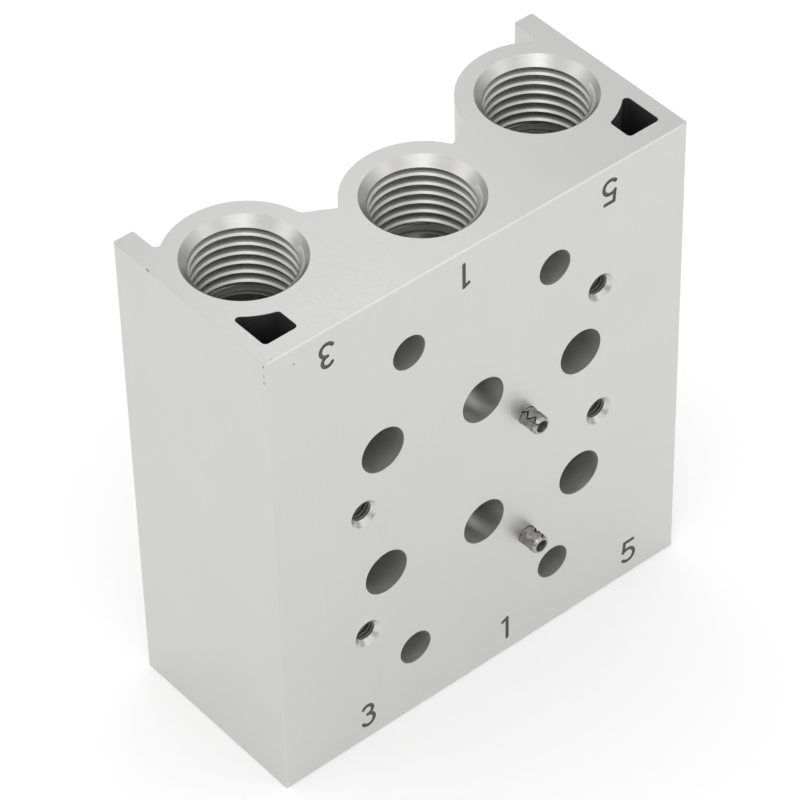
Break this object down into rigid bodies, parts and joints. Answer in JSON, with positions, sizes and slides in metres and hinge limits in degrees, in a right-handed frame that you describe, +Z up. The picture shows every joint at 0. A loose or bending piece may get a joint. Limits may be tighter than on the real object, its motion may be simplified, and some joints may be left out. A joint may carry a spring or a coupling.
{
  "type": "air manifold block",
  "caption": "Extruded aluminium base that feeds and exhausts compact air valves, with tapped end ports, cross drilled valve ports and spring pins that locate each valve.",
  "frame": {"origin": "middle of the valve face, on the block's centre line and halfway between its ends", "axes": "+X across the block, to the right as the valve face is seen; +Y from the valve face into the block; +Z up along the bar, which stands on its lower end"},
  "size_m": [0.06, 0.0285, 0.066],
  "materials": {
    "block_aluminium": "satin, fine milled faces and brushed countersinks",
    "pin_steel": "polished spring steel"
  },
  "bodies": {
    "root": {"manifold_block": "block_aluminium", "locating_pin_1": "pin_steel", "locating_pin_2": "pin_steel"}
  },
  "joints": []
}
